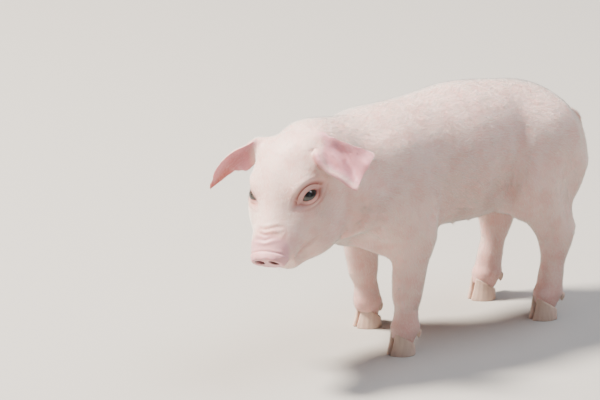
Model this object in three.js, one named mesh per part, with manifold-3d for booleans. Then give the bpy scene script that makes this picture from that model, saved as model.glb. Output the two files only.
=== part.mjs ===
// A white piglet about four weeks old, standing with its head lowered and turned to its left.
//
// Millimetres, with +Z up. The pig faces -Y and its left side is +X. Every frame used here, the
// head's own frame too, has x to the pig's left, y to its back and z up. The body is shaped with
// the left fore foot at y = 0 and the floor at z = 0, and the last lines move the origin to the
// middle of the footprint.
//
// The flesh is one rounded mass of ellipsoids and tapering limbs, joined by soft blends. Each part
// of the body is a closed shell pushed out onto that mass and then trimmed by flat cuts, so that
// neighbours share one smooth surface and keep a thin gap between them.

import * as THREE from 'three';
import { mergeVertices } from 'three/addons/utils/BufferGeometryUtils.js';
import Module from 'manifold-3d';

const wasm = await Module();
wasm.setup();

const LEFT = 1;
const RIGHT = -1;
const sideName = side => (side === LEFT ? 'left' : 'right');
const at = (left, back, up) => new THREE.Vector3(left, back, up);

// ---- Driving dimensions ----------------------------------------------------------------------

const gap = 0.3;                 // clear space between neighbouring parts
const spare = 22;                // how far a shell runs past its flat cuts before it is trimmed

const trunk = {
  withersHeight: 252,
  sternumHeight: 106,
  chestWidth: 118,
  bellyWidth: 128,
  girthPlace: 15,                // how far each station lies behind the left fore foot
  bellyPlace: 94,
  loinPlace: 166,
};

const head = {
  eyeMiddle: at(18, -131, 190),  // the point midway between the eyes
  pitch: 38,                     // nose down, degrees
  yaw: 35,                       // nose to the pig's left
  roll: 10,                      // left side up
  eyeSpread: 31,                 // from the middle to each eyeball's centre
  eyeRadius: 9.6,
  muzzleLength: 73,              // from the eyes to the snout's face
  muzzleDrop: 18,                // how far the snout's centre lies below the eyes
};

const snout = { halfWidth: 20.5, halfHeight: 15.5, thickness: 9, bevel: 3.2 };
const mouth = { drop: 36, corner: 8 };

const ear = { thickness: 3.2, cup: 8, arch: 8 };

const foreleg = {
  stance: 42,                    // from the middle to each fore foot
  stride: 18,                    // how far the right foot stands behind the left one
  elbow: 128,
  carpus: 62,
  fetlock: 28,
};

const hindleg = {
  stance: 41,
  place: 176,                    // the left hind foot's place behind the left fore foot
  stride: -17,
  stifle: 142,
  hock: 84,
  fetlock: 29,
};

const claw = { length: 27, width: 14.5, toeHeight: 19, heelHeight: 9, cleft: 2 };
const dewclaw = { width: 6.5, length: 9, height: 7 };

const tail = { rootHeight: 194, rootPlace: 236, rootRadius: 5.5, tipRadius: 2.2 };

// ---- Materials -------------------------------------------------------------------------------

const paint = (color, roughness) => new THREE.MeshStandardMaterial({ color, roughness, metalness: 0 });
const skinPaint = paint('#e6d5d0', 0.7);
const earPaint = paint('#dba9a8', 0.65);
const snoutPaint = paint('#dfb0ae', 0.5);
const clawPaint = paint('#cbb9a4', 0.5);
const eyePaint = paint('#3d3a36', 0.08);

// ---- The flesh as one rounded mass -----------------------------------------------------------

const bodyFrame = new THREE.Matrix4();
const headTurn = new THREE.Quaternion().setFromEuler(new THREE.Euler(
  THREE.MathUtils.degToRad(head.pitch),
  THREE.MathUtils.degToRad(-head.roll),
  THREE.MathUtils.degToRad(head.yaw),
  'ZXY',
));
const headFrame = new THREE.Matrix4().compose(head.eyeMiddle, headTurn, at(1, 1, 1));
const onHead = (left, back, up) => at(left, back, up).applyMatrix4(headFrame);

const flesh = [];

// An ellipsoid with radii to the left, back and up of its own frame. `blend` is how wide its joint
// with the rest of the flesh is rounded.
function addBall(frame, centre, radii, blend) {
  const intoBall = new THREE.Matrix4().multiplyMatrices(
    frame,
    new THREE.Matrix4().makeTranslation(centre),
  ).invert();
  const local = new THREE.Vector3();
  const distance = point => {
    local.copy(point).applyMatrix4(intoBall);
    const [x, y, z] = [local.x / radii[0], local.y / radii[1], local.z / radii[2]];
    const slope = Math.hypot(x / radii[0], y / radii[1], z / radii[2]);
    const nearness = Math.hypot(x, y, z);
    return slope === 0 ? -Math.min(...radii) : nearness * (nearness - 1) / slope;
  };
  flesh.push({ distance, blend });
}

// A rod with round ends whose radius changes evenly. `slimness` narrows it from side to side.
function addLimb(frame, from, to, fromRadius, toRadius, blend, slimness = 1) {
  const start = from.clone().applyMatrix4(frame);
  const run = to.clone().applyMatrix4(frame).sub(start);
  const lengthSquared = run.lengthSq();
  const offset = new THREE.Vector3();
  const distance = point => {
    offset.copy(point).sub(start);
    const along = THREE.MathUtils.clamp(offset.dot(run) / lengthSquared, 0, 1);
    offset.addScaledVector(run, -along);
    offset.x /= slimness;
    return (offset.length() - THREE.MathUtils.lerp(fromRadius, toRadius, along)) * slimness;
  };
  flesh.push({ distance, blend });
}

// How far a point lies outside the flesh; negative inside it.
function fleshDistance(point) {
  let nearest = Infinity;
  for (const { distance, blend } of flesh) {
    const next = distance(point);
    const overlap = Math.max(blend - Math.abs(nearest - next), 0) / blend;
    nearest = Math.min(nearest, next) - overlap * overlap * blend / 4;
  }
  return nearest;
}

function addTrunk() {
  const chestMiddle = (trunk.withersHeight + trunk.sternumHeight) / 2;
  const chestDepth = trunk.withersHeight - trunk.sternumHeight;
  const ribCage = [trunk.chestWidth / 2 - 3, 75, chestDepth / 2 - 2];
  const barrel = [trunk.bellyWidth / 2, 95, chestDepth / 2 - 5];
  const belly = [trunk.bellyWidth / 2 - 8, 76, chestDepth / 2 - 20];
  const loin = [46, 58, 46];
  const brisket = [32, 38, 32];
  addBall(bodyFrame, at(0, trunk.girthPlace, chestMiddle - 2), ribCage, 26);
  addBall(bodyFrame, at(0, trunk.bellyPlace, chestMiddle + 6), barrel, 26);
  addBall(bodyFrame, at(0, trunk.bellyPlace + 12, chestMiddle - 8), belly, 26);
  addBall(bodyFrame, at(0, trunk.loinPlace, chestMiddle + 14), loin, 26);
  addBall(bodyFrame, at(0, -32, chestMiddle - 40), brisket, 22);
}

function addNeck() {
  const [baseRadius, pollRadius] = [54, 44];
  addLimb(bodyFrame, at(0, -14, 186), at(8, -84, 210), baseRadius, pollRadius, 22);
}

function addHead() {
  const lower = head.muzzleDrop;
  const nose = -head.muzzleLength;
  const [cranium, forehead, nosePad] = [[37, 33, 30], [33, 30, 23], [18.5, 16, 15]];
  const [throat, chin] = [[36, 34, 34], [13, 12, 10]];
  addBall(headFrame, at(0, 28, 0), cranium, 16);
  addBall(headFrame, at(0, 10, 0), forehead, 12);
  addLimb(headFrame, at(0, 10, 0), at(0, nose + 8, 1 - lower), 22, 17, 12);
  addBall(headFrame, at(0, nose + 12, 1 - lower), nosePad, 6);
  addBall(headFrame, at(0, 45, -46), throat, 20);
  addLimb(headFrame, at(0, 12, -60), at(0, nose + 24, -45), 27, 17, 8);
  addBall(headFrame, at(0, nose + 20, -42), chin, 5);
  const [cheek, cheekbone, brow] = [[26, 46, 42], [14, 28, 14], [11, 16, 9]];
  const [jowl, earBase] = [[23, 40, 26], [8, 12, 8]];
  for (const side of [LEFT, RIGHT]) {
    addLimb(headFrame, at(side * 15, 5, -lower), at(side * 8, nose + 10, -lower - 3), 20, 15, 8);
    addBall(headFrame, at(side * 24, 16, -40), cheek, 14);
    addBall(headFrame, at(side * 23, 4, -12), cheekbone, 12);
    addBall(headFrame, at(side * 24, 5, 9), brow, 10);
    addBall(headFrame, at(side * 20, 0, -50), jowl, 12);
    addBall(headFrame, at(side * 29, 42, 18), earBase, 10);
  }
}

// The joints of one fore leg, from the shoulder down to the sole.
function forelegJoints(side) {
  const shift = side === LEFT ? 0 : foreleg.stride;
  return {
    shoulder: at(side * 42, -34, 166),
    elbow: at(side * 45, 12 - shift * 0.3, foreleg.elbow),
    carpus: at(side * 43, 5 + shift * 0.4, foreleg.carpus),
    fetlock: at(side * foreleg.stance, 4 + shift * 0.7, foreleg.fetlock),
    foot: at(side * foreleg.stance, shift, 0),
  };
}

// The joints of one hind leg, from the hip down to the sole.
function hindlegJoints(side) {
  const place = hindleg.place + (side === LEFT ? 0 : hindleg.stride);
  const drift = (place - hindleg.place) / 2;
  return {
    hip: at(side * 34, 178, 186),
    stifle: at(side * 47, 158 + drift * 0.4, hindleg.stifle),
    hock: at(side * 42, place + 13 - drift * 0.5, hindleg.hock),
    fetlock: at(side * hindleg.stance, place + 6, hindleg.fetlock),
    foot: at(side * hindleg.stance, place, 0),
  };
}

const raised = (point, left, back, up) => point.clone().add(at(left, back, up));

function addForeleg(side) {
  const { shoulder, elbow, carpus, fetlock, foot } = forelegJoints(side);
  const [shoulderBlade, upperArm, knee] = [[24, 40, 46], [20, 28, 32], [14.5, 16.5, 16]];
  addBall(bodyFrame, at(side * 38, -8, 186), shoulderBlade, 20);
  addLimb(bodyFrame, shoulder, elbow, 29, 24, 14);
  addBall(bodyFrame, raised(elbow, -side * 2, 6, 27), upperArm, 12);
  addLimb(bodyFrame, elbow, carpus, 23, 16, 10, 0.85);
  addBall(bodyFrame, carpus, knee, 6);
  addLimb(bodyFrame, carpus, fetlock, 13, 11.5, 6, 0.9);
  addFoot(fetlock, foot);
}

function addHindleg(side) {
  const { hip, stifle, hock, fetlock, foot } = hindlegJoints(side);
  const [rump, hockJoint] = [[29, 42, 46], [15, 19, 19]];
  addBall(bodyFrame, at(side * 32, 188, 176), rump, 22);
  addLimb(bodyFrame, hip, stifle, 34, 25, 16, 0.9);
  addLimb(bodyFrame, stifle, hock, 28, 17, 12, 0.85);
  addLimb(bodyFrame, at(side * 32, 210, 158), raised(hock, 0, 9, 10), 24, 9, 12, 0.85);
  addBall(bodyFrame, hock, hockJoint, 6);
  addLimb(bodyFrame, hock, fetlock, 15.5, 12.5, 6, 0.88);
  addFoot(fetlock, foot);
}

// The fetlock and the short pastern that carries the claws.
function addFoot(fetlock, foot) {
  const ankle = [13, 13.5, 12];
  const pasternEnd = raised(foot, 0, -1, 14);
  addBall(bodyFrame, fetlock, ankle, 6);
  addLimb(bodyFrame, fetlock, pasternEnd, 12, 13.5, 5);
}

addTrunk();
addNeck();
addHead();
for (const side of [LEFT, RIGHT]) {
  addForeleg(side);
  addHindleg(side);
}

// ---- Shells pushed out onto the flesh ---------------------------------------------------------

// The distance from `origin` along `direction` to where the flesh, grown by `level`, or the room
// given to the part ends.
function reach(origin, direction, room, level) {
  const point = new THREE.Vector3();
  const excess = length => {
    point.copy(origin).addScaledVector(direction, length);
    return Math.max(fleshDistance(point) - level, room(point));
  };
  let inside = 0;
  let outside = 0;
  let value = excess(0);
  const [farthest, caution, leastStep] = [400, 0.6, 0.5];
  while (value < 0 && outside < farthest) {
    inside = outside;
    outside += Math.max(-caution * value, leastStep);
    value = excess(outside);
  }
  for (let halving = 0; halving < 12; halving += 1) {
    const middle = (inside + outside) / 2;
    if (excess(middle) < 0) inside = middle;
    else outside = middle;
  }
  return (inside + outside) / 2;
}

// A closed shell of rings strung along `spine`, with round caps on both ends.
function wrap({ spine, rings, sectors, caps = 3, room = () => -Infinity, level = 0 }) {
  const curve = new THREE.CatmullRomCurve3(spine);
  const geometry = new THREE.CapsuleGeometry(1, 2, caps, sectors, rings);
  const position = geometry.attributes.position;
  const origin = new THREE.Vector3();
  const direction = new THREE.Vector3();
  for (let index = 0; index < position.count; index += 1) {
    const [x, y, z] = [position.getX(index), position.getY(index), position.getZ(index)];
    const along = THREE.MathUtils.clamp((y + 1) / 2, 0, 1);
    const ahead = y - THREE.MathUtils.clamp(y, -1, 1);
    const tangent = curve.getTangent(along);
    const across = at(1, 0, 0).addScaledVector(tangent, -tangent.x).normalize();
    const above = new THREE.Vector3().crossVectors(across, tangent);
    direction.set(0, 0, 0);
    direction.addScaledVector(across, x).addScaledVector(above, z).addScaledVector(tangent, ahead);
    direction.normalize();
    curve.getPoint(along, origin);
    const length = reach(origin, direction, room, level);
    position.setXYZ(index, ...origin.addScaledVector(direction, length).toArray());
  }
  return solid(geometry);
}

// ---- Solids and cuts --------------------------------------------------------------------------

// A geometry as a solid that can be cut and joined.
function solid(geometry) {
  const bare = geometry.clone();
  bare.deleteAttribute('normal');
  bare.deleteAttribute('uv');
  const merged = mergeVertices(bare, 1e-4);
  const corners = merged.index.array;
  const triangles = [];
  for (let index = 0; index < corners.length; index += 3) {
    const [a, b, c] = corners.slice(index, index + 3);
    if (a !== b && b !== c && c !== a) triangles.push(a, b, c);
  }
  return new wasm.Manifold(new wasm.Mesh({
    numProp: 3,
    vertProperties: new Float32Array(merged.attributes.position.array),
    triVerts: new Uint32Array(triangles),
  }));
}

const upright = at(0, 0, 1);
const vast = 800;

// A half-space is kept as a point on its face and a normal that points into it.
const halfSpace = (point, normal) => ({ point, normal: normal.clone().normalize() });
const depthIn = ({ point, normal }, where) => where.clone().sub(point).dot(normal);

// A vast block that fills a half-space, with its face moved outward by `growth`.
function block(space, growth = 0) {
  const turn = new THREE.Quaternion().setFromUnitVectors(upright, space.normal);
  const centre = space.point.clone().addScaledVector(space.normal, vast / 2 - growth);
  const geometry = new THREE.BoxGeometry(vast, vast, vast);
  geometry.applyMatrix4(new THREE.Matrix4().compose(centre, turn, at(1, 1, 1)));
  return solid(geometry);
}

// The room where several half-spaces overlap, such as the wedge of space that holds a leg.
function sharedBlock(spaces, growth = 0) {
  return spaces.map(space => block(space, growth)).reduce((all, next) => all.intersect(next));
}
const depthInAll = (spaces, where) => Math.min(...spaces.map(space => depthIn(space, where)));

const opposite = ({ point, normal }) => ({ point, normal: normal.clone().negate() });

// A part: a shell held inside the half-spaces in `within`, and clear of each wedge in `without`.
function bodyPart({ within = [], without = [], level = 0, ...shell }) {
  const room = where => Math.max(
    ...within.map(space => -depthIn(space, where) - spare),
    ...without.map(spaces => depthInAll(spaces, where) - spare),
  );
  let part = wrap({ ...shell, room, level });
  for (const space of within) part = part.subtract(block(opposite(space), gap / 2));
  for (const spaces of without) part = part.subtract(sharedBlock(spaces, gap / 2));
  return part;
}

// ---- The flat cuts between the parts ----------------------------------------------------------

const neckFront = halfSpace(at(0, -46, 186), at(0, -0.92, 0.38));
const headFront = halfSpace(onHead(0, 54, 0), at(0, -1, 0.17).applyQuaternion(headTurn));
const muzzleEnd = halfSpace(onHead(0, snout.thickness - head.muzzleLength, 0),
  at(0, -1, 0).applyQuaternion(headTurn));
const jawRoom = [
  halfSpace(onHead(0, 0, -mouth.drop), at(0, 0.04, -1).applyQuaternion(headTurn)),
  halfSpace(onHead(0, mouth.corner, 0), at(0, -1, -0.5).applyQuaternion(headTurn)),
];

const foreWedge = side => [
  halfSpace(at(side * 14, 0, 119), at(side, 0, -1)),
  halfSpace(at(0, -44, 140), at(0, 1, -0.3)),
  halfSpace(at(0, 52, 140), at(0, -1, -0.35)),
];
const hindWedge = side => [
  halfSpace(at(side * 6, 0, 122), at(side, 0, -1)),
  halfSpace(at(0, 124, 140), at(0, 1, -0.35)),
];
const belowJoint = (upper, joint) => halfSpace(joint, joint.clone().sub(upper));
const coronet = foot => halfSpace(raised(foot, 0, 0, (claw.toeHeight + claw.heelHeight) / 2),
  at(0, (claw.toeHeight - claw.heelHeight) / -claw.length, -1));

// ---- The parts --------------------------------------------------------------------------------

const pig = new THREE.Group();

function addNode(name, part, material) {
  const { vertProperties, triVerts } = part.getMesh();
  const geometry = new THREE.BufferGeometry();
  geometry.setAttribute('position', new THREE.BufferAttribute(vertProperties, 3));
  geometry.setIndex(new THREE.BufferAttribute(triVerts, 1));
  geometry.computeVertexNormals();
  const mesh = new THREE.Mesh(geometry, material);
  mesh.name = name;
  pig.add(mesh);
}

function ellipsoidSolid(centre, radii, turn, sectors, rings) {
  const geometry = new THREE.SphereGeometry(1, sectors, rings);
  geometry.applyMatrix4(new THREE.Matrix4().compose(centre, turn, at(...radii)));
  return solid(geometry);
}

const headShell = level => bodyPart({
  spine: [onHead(0, 66, -12), onHead(0, 30, -14), onHead(0, -10, -16), onHead(0, -52, -22)],
  rings: 21,
  sectors: 28,
  within: [headFront, neckFront, opposite(muzzleEnd)],
  level,
});

// The eyeball, a little in front of its socket's rim.
const eyeball = (side, extra, sectors, rings) => {
  const radius = head.eyeRadius + extra;
  return ellipsoidSolid(onHead(side * head.eyeSpread, 0, 0), [radius, radius, radius], headTurn,
    sectors, rings);
};

function addHeadParts() {
  const whole = headShell(0);
  const jawBlock = sharedBlock(jawRoom, gap / 2);
  const sockets = [LEFT, RIGHT].map(side => eyeball(side, gap * 1.5, 13, 8));
  const skull = sockets.reduce((part, socket) => part.subtract(socket), whole.subtract(jawBlock));
  addNode('head', skull, skinPaint);
  const jaw = jawRoom.reduce((part, space) => part.subtract(block(opposite(space), gap / 2)), whole);
  addNode('lower_jaw', jaw, skinPaint);
  for (const side of [LEFT, RIGHT]) {
    addNode(`${sideName(side)}_eye`, eyeball(side, 0, 13, 8), eyePaint);
  }
}

// The snout: an oval disc with a rounded rim and two slanting nostrils.
function addSnout() {
  const outline = new THREE.Shape();
  outline.absellipse(0, 0, snout.halfWidth - snout.bevel, snout.halfHeight - snout.bevel, 0, Math.PI * 2);
  const geometry = new THREE.ExtrudeGeometry(outline, {
    depth: snout.thickness - snout.bevel,
    bevelThickness: snout.bevel,
    bevelSize: snout.bevel,
    bevelSegments: 2,
    curveSegments: 10,
  });
  geometry.rotateX(Math.PI / 2);
  geometry.translate(0, -head.muzzleLength + snout.thickness - snout.bevel, -head.muzzleDrop);
  geometry.applyMatrix4(headFrame);
  let disc = solid(geometry).subtract(block(opposite(muzzleEnd), gap / 2));
  disc = disc.subtract(sharedBlock(jawRoom, gap / 2));
  for (const side of [LEFT, RIGHT]) {
    const lean = new THREE.Quaternion().setFromAxisAngle(at(0, 1, 0), THREE.MathUtils.degToRad(side * 25));
    const pit = ellipsoidSolid(onHead(side * 7.5, -head.muzzleLength, 1 - head.muzzleDrop), [3, 6.5, 4.6],
      headTurn.clone().multiply(lean), 10, 6);
    disc = disc.subtract(pit);
  }
  addNode('snout', disc, snoutPaint);
}

// One ear: a cupped leaf from its root beside the poll to `tip`, its hollow side turned to `facing`.
// Both directions are in the head's frame. The leaf is narrow in front of its long axis and
// swells into a lobe behind it.
function addEar(side, headRoom, { tip, facing, length, front, lobe, bluntness }) {
  const root = at(side * 30, 45, 20);
  const along = tip.clone().normalize();
  const hollow = facing.clone().addScaledVector(along, -facing.dot(along)).normalize();
  const rearward = new THREE.Vector3().crossVectors(hollow, along).multiplyScalar(side);
  const rise = at(0, 0, 1).addScaledVector(along, -along.z).normalize();
  const geometry = new THREE.CapsuleGeometry(1, 2, 2, 14, 8);
  const position = geometry.attributes.position;
  for (let index = 0; index < position.count; index += 1) {
    const way = (position.getY(index) + 2) / 4;
    const ring = Math.hypot(position.getX(index), position.getZ(index)) || 1;
    const across = position.getX(index) / ring;
    const skin = position.getZ(index) / ring;
    const end = Math.sqrt(1 - Math.pow(way, bluntness));
    const rearEdge = lobe * Math.pow(way + 0.12, 0.7) * end;
    const frontEdge = -front * (0.7 + 0.3 * Math.sin(Math.PI * way)) * end;
    const bow = ear.cup * (across * across - 0.6) * Math.sin(Math.PI * (0.2 + 0.6 * way));
    const halfThickness = ear.thickness / 2 * Math.min(1, 4 * (1.02 - way));
    const point = root.clone();
    point.addScaledVector(along, length * (way * 1.12 - 0.12));
    point.addScaledVector(rise, 4 * ear.arch * way * (1 - way));
    point.addScaledVector(rearward, THREE.MathUtils.lerp(frontEdge, rearEdge, (across + 1) / 2));
    point.addScaledVector(hollow, bow + skin * halfThickness);
    position.setXYZ(index, ...point.toArray());
  }
  geometry.applyMatrix4(headFrame);
  const leaf = solid(side === LEFT ? turnInsideOut(geometry) : geometry);
  addNode(`${sideName(side)}_ear`, leaf.subtract(headRoom), earPaint);
}

function addEars() {
  const headRoom = headShell(gap);
  addEar(LEFT, headRoom, {
    tip: at(0.78, -0.48, -0.4), facing: at(0.45, -0.5, 0.72), length: 67, front: 13, lobe: 47, bluntness: 8,
  });
  addEar(RIGHT, headRoom, {
    tip: at(-0.74, -0.5, -0.46), facing: at(0.72, -0.7, -0.15), length: 75, front: 9, lobe: 32, bluntness: 3,
  });
}

addHeadParts();
addSnout();
addEars();

addNode('neck', bodyPart({
  spine: [at(0, -20, 190), at(4, -56, 204), at(8, -92, 214), at(12, -122, 220)],
  rings: 11,
  sectors: 28,
  within: [neckFront, opposite(headFront)],
}), skinPaint);

const trunkShell = level => bodyPart({
  spine: [at(0, -50, 178), at(0, 30, 182), at(0, 120, 186), at(0, 206, 190)],
  rings: 18,
  sectors: 28,
  within: [opposite(neckFront)],
  without: [LEFT, RIGHT].flatMap(side => [foreWedge(side), hindWedge(side)]),
  level,
});
addNode('trunk', trunkShell(0), skinPaint);

// The tail: a tapering rod that leaves the rump level and hangs with a loose bend.
function addTail() {
  const bend = (aside, back, drop) => at(aside, tail.rootPlace + back, tail.rootHeight - drop);
  const curve = new THREE.CatmullRomCurve3([
    bend(0, -14, 0),
    bend(0, 0, -1),
    bend(-1, 10, 7),
    bend(-4, 13, 26),
    bend(-9, 9, 47),
    bend(-5, 8, 68),
  ]);
  const geometry = new THREE.CapsuleGeometry(1, 2, 2, 8, 12);
  const position = geometry.attributes.position;
  for (let index = 0; index < position.count; index += 1) {
    const [x, y, z] = [position.getX(index), position.getY(index), position.getZ(index)];
    const way = THREE.MathUtils.clamp((y + 1) / 2, 0, 1);
    const ahead = y - THREE.MathUtils.clamp(y, -1, 1);
    const tangent = curve.getTangentAt(way);
    const above = new THREE.Vector3().crossVectors(at(1, 0, 0), tangent).normalize();
    const across = new THREE.Vector3().crossVectors(tangent, above);
    const radius = THREE.MathUtils.lerp(tail.rootRadius, tail.tipRadius, way);
    const point = curve.getPointAt(way);
    point.addScaledVector(across, x * radius).addScaledVector(above, z * radius);
    point.addScaledVector(tangent, ahead * radius);
    position.setXYZ(index, ...point.toArray());
  }
  addNode('tail', solid(geometry).subtract(trunkShell(gap)), skinPaint);
}
addTail();

// One claw: a block with a rounded toe and a flat inner side, its front wall sloping back.
function clawSolid(foot, outward) {
  const outline = new THREE.Shape();
  const half = claw.length / 2;
  outline.moveTo(0, half);
  outline.lineTo(0, -half + 3);
  outline.quadraticCurveTo(0.5, -half, 3.5, -half);
  outline.bezierCurveTo(claw.width * 0.7, -half + 2, claw.width, -4, claw.width, 3);
  outline.bezierCurveTo(claw.width, half - 2, claw.width * 0.6, half, 0, half);
  const geometry = new THREE.ExtrudeGeometry(outline, {
    depth: claw.toeHeight + 6,
    steps: 2,
    bevelEnabled: false,
    curveSegments: 4,
  });
  const position = geometry.attributes.position;
  for (let index = 0; index < position.count; index += 1) {
    const up = position.getZ(index);
    const taper = 1 - 0.009 * up;
    position.setX(index, position.getX(index) * taper + claw.cleft / 2);
    position.setY(index, (position.getY(index) - half) * taper + half + 0.02 * up - 3);
  }
  if (outward < 0) geometry.scale(-1, 1, 1);
  geometry.translate(foot.x, foot.y, 0);
  return outward < 0 ? solid(turnInsideOut(geometry)) : solid(geometry);
}

// Mirroring a geometry turns its faces inward, and this turns them out again.
function turnInsideOut(geometry) {
  const flipped = geometry.index ? geometry.toNonIndexed() : geometry;
  const { array } = flipped.attributes.position;
  for (let start = 0; start < array.length; start += 9) {
    for (let axis = 0; axis < 3; axis += 1) {
      const kept = array[start + axis];
      array[start + axis] = array[start + 3 + axis];
      array[start + 3 + axis] = kept;
    }
  }
  return flipped;
}

// The lower leg with its two claws and, higher up behind, its two dewclaws. Claw a is on the
// pig's left and claw b on its right.
function addLowerLeg(name, upper, joint, fetlock, foot) {
  const top = belowJoint(upper, joint);
  const sole = coronet(foot);
  const lean = new THREE.Quaternion().setFromAxisAngle(at(1, 0, 0), THREE.MathUtils.degToRad(-35));
  const dewclawRadii = extra => [dewclaw.width, dewclaw.height, dewclaw.length]
    .map(size => size / 2 + extra);
  const [rings, sectors] = [5, 7];
  let shank = bodyPart({
    spine: [raised(joint, 0, 0, 14), joint, fetlock, raised(foot, 0, 0, 9)],
    rings: 8,
    sectors: 13,
    within: [top, opposite(sole)],
  });
  for (const [letter, outward] of [['a', LEFT], ['b', RIGHT]]) {
    const place = raised(fetlock, outward * 9, 10, -7);
    shank = shank.subtract(ellipsoidSolid(place, dewclawRadii(gap * 1.5), lean, sectors, rings));
    addNode(`${name}_dewclaw_${letter}`,
      ellipsoidSolid(place, dewclawRadii(0), lean, sectors, rings), clawPaint);
    addNode(`${name}_claw_${letter}`,
      clawSolid(foot, outward).subtract(block(opposite(sole), gap / 2)), clawPaint);
  }
  addNode(`${name}_lower_leg`, shank, skinPaint);
}

for (const side of [LEFT, RIGHT]) {
  const fore = forelegJoints(side);
  addNode(`${sideName(side)}_fore_upper_leg`, bodyPart({
    spine: [raised(fore.elbow, 0, -12, 26), fore.elbow, fore.carpus, raised(fore.carpus, 0, 0, -18)],
    rings: 8,
    sectors: 18,
    caps: 5,
    within: [...foreWedge(side), opposite(belowJoint(fore.elbow, fore.carpus))],
  }), skinPaint);
  addLowerLeg(`${sideName(side)}_fore`, fore.elbow, fore.carpus, fore.fetlock, fore.foot);

  const hind = hindlegJoints(side);
  addNode(`${sideName(side)}_hind_upper_leg`, bodyPart({
    spine: [raised(hind.stifle, -side * 6, 40, 26), raised(hind.stifle, -side * 2, 28, -18), hind.hock,
      raised(hind.hock, 0, -6, -18)],
    rings: 9,
    sectors: 18,
    caps: 5,
    within: [...hindWedge(side), opposite(belowJoint(hind.stifle, hind.hock))],
  }), skinPaint);
  addLowerLeg(`${sideName(side)}_hind`, hind.stifle, hind.hock, hind.fetlock, hind.foot);
}

// Stand the pig with the origin under the middle of its footprint.
const box = new THREE.Box3().setFromObject(pig);
const middle = box.getCenter(at(0, 0, 0));
pig.position.set(-middle.x, -middle.y, -box.min.z);

export default pig;
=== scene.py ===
# %% [markdown]
# # A white piglet as a museum model
#
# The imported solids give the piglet's true size and outline. This notebook dresses them: one skin
# drawn over all the flesh, glass-bright eyes, horn claws, and a coat of short white hair. Lengths
# are in metres, but landmarks, brushes and the measures of the lids, the snout and the hair are
# in millimetres. The piglet faces -Y, its left is +X.

import math

import bmesh
import bpy
import numpy as np
from mathutils import Matrix, Vector
from mathutils.bvhtree import BVHTree


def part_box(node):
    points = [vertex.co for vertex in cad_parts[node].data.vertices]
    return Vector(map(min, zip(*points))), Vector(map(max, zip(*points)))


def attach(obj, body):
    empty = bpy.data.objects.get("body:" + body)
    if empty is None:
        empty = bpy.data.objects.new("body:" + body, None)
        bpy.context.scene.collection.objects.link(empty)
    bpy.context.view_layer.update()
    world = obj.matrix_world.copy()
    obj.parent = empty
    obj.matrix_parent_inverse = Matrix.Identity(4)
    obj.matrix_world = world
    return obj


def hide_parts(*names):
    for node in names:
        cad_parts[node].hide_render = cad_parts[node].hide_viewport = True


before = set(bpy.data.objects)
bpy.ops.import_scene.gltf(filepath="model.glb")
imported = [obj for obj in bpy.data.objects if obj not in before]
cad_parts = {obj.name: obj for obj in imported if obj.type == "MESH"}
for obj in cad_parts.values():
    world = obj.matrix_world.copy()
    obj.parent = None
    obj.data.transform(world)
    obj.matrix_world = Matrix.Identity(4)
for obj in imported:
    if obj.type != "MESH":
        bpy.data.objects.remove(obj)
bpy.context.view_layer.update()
mm = 0.001

# %% [markdown]
# Nodes are added many times below, so one small function makes a node, sets its values and links
# its inputs. Another turns a familiar hex colour, which is sRGB, into the linear light that a
# renderer computes with. The last two start a material and place an object in the scene.

# %% Helpers
def srgb(hex_colour):
    channels = [int(hex_colour[start:start + 2], 16) / 255 for start in (1, 3, 5)]
    linear = [c / 12.92 if c <= 0.04045 else ((c + 0.055) / 1.055) ** 2.4 for c in channels]
    return (*linear, 1.0)


def add(tree, kind, settings, inputs):
    node = tree.nodes.new(kind)
    for name, value in settings.items():
        setattr(node, name, value)
    for name, value in inputs.items():
        if isinstance(value, bpy.types.NodeSocket):
            tree.links.new(value, node.inputs[name])
        else:
            node.inputs[name].default_value = value
    return node


def new_material(name):
    material = bpy.data.materials.new(name)
    material.use_nodes = True
    material.node_tree.nodes.clear()
    return material


def new_object(name, data):
    made = bpy.data.objects.new(name, data)
    bpy.context.scene.collection.objects.link(made)
    return made


# %% [markdown]
# The camera stands far off with a long lens, as one does with a shy young animal: the distance
# keeps the near shoulder from looking larger than the far one. It looks down a little, at the
# piglet's front left side.

# %% Camera
view_azimuth = math.radians(55)
view_height = math.radians(20)
view_distance = 12.0
picture_width = 0.600
aim = Vector((-0.0722, -0.0855, 0.1403))

to_camera = Vector((
    math.sin(view_azimuth) * math.cos(view_height),
    -math.cos(view_azimuth) * math.cos(view_height),
    math.sin(view_height),
))
camera_data = bpy.data.cameras.new("camera")
camera_data.sensor_width = 36
camera_data.lens = camera_data.sensor_width * view_distance / picture_width
camera = new_object("camera", camera_data)
camera.location = aim + to_camera * view_distance
camera.rotation_euler = (-to_camera).to_track_quat("-Z", "Y").to_euler()
bpy.context.scene.camera = camera
print("camera at:", [round(c, 2) for c in camera.location], "lens mm:", round(camera_data.lens))

# %% [markdown]
# A plain pale floor and soft studio light. The key lamp is a disc 0.7 m across. It hangs high on
# the camera's left, ahead of the piglet, so the forehead and back are brightest, the belly is in
# shade and the shadow has a soft edge. The sky lamp above the rump and the weak fill lamp on the
# piglet's left keep the shade open.

# %% Floor and lights
floor_size = 60
bpy.ops.mesh.primitive_plane_add(size=floor_size)
floor = bpy.context.object
floor.name = "floor"

floor_paint = new_material("matt floor paint")
tree = floor_paint.node_tree
surface = add(tree, "ShaderNodeBsdfPrincipled", {}, {"Base Color": srgb("#aba9a5"), "Roughness": 0.85})
add(tree, "ShaderNodeOutputMaterial", {}, {"Surface": surface.outputs[0]})
floor.data.materials.append(floor_paint)

world = bpy.data.worlds.new("studio air")
world.use_nodes = True
world.node_tree.nodes["Background"].inputs["Color"].default_value = srgb("#e9edf2")
world.node_tree.nodes["Background"].inputs["Strength"].default_value = 0.16
bpy.context.scene.world = world
body_middle = Vector((0, 0, 0.15))


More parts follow.
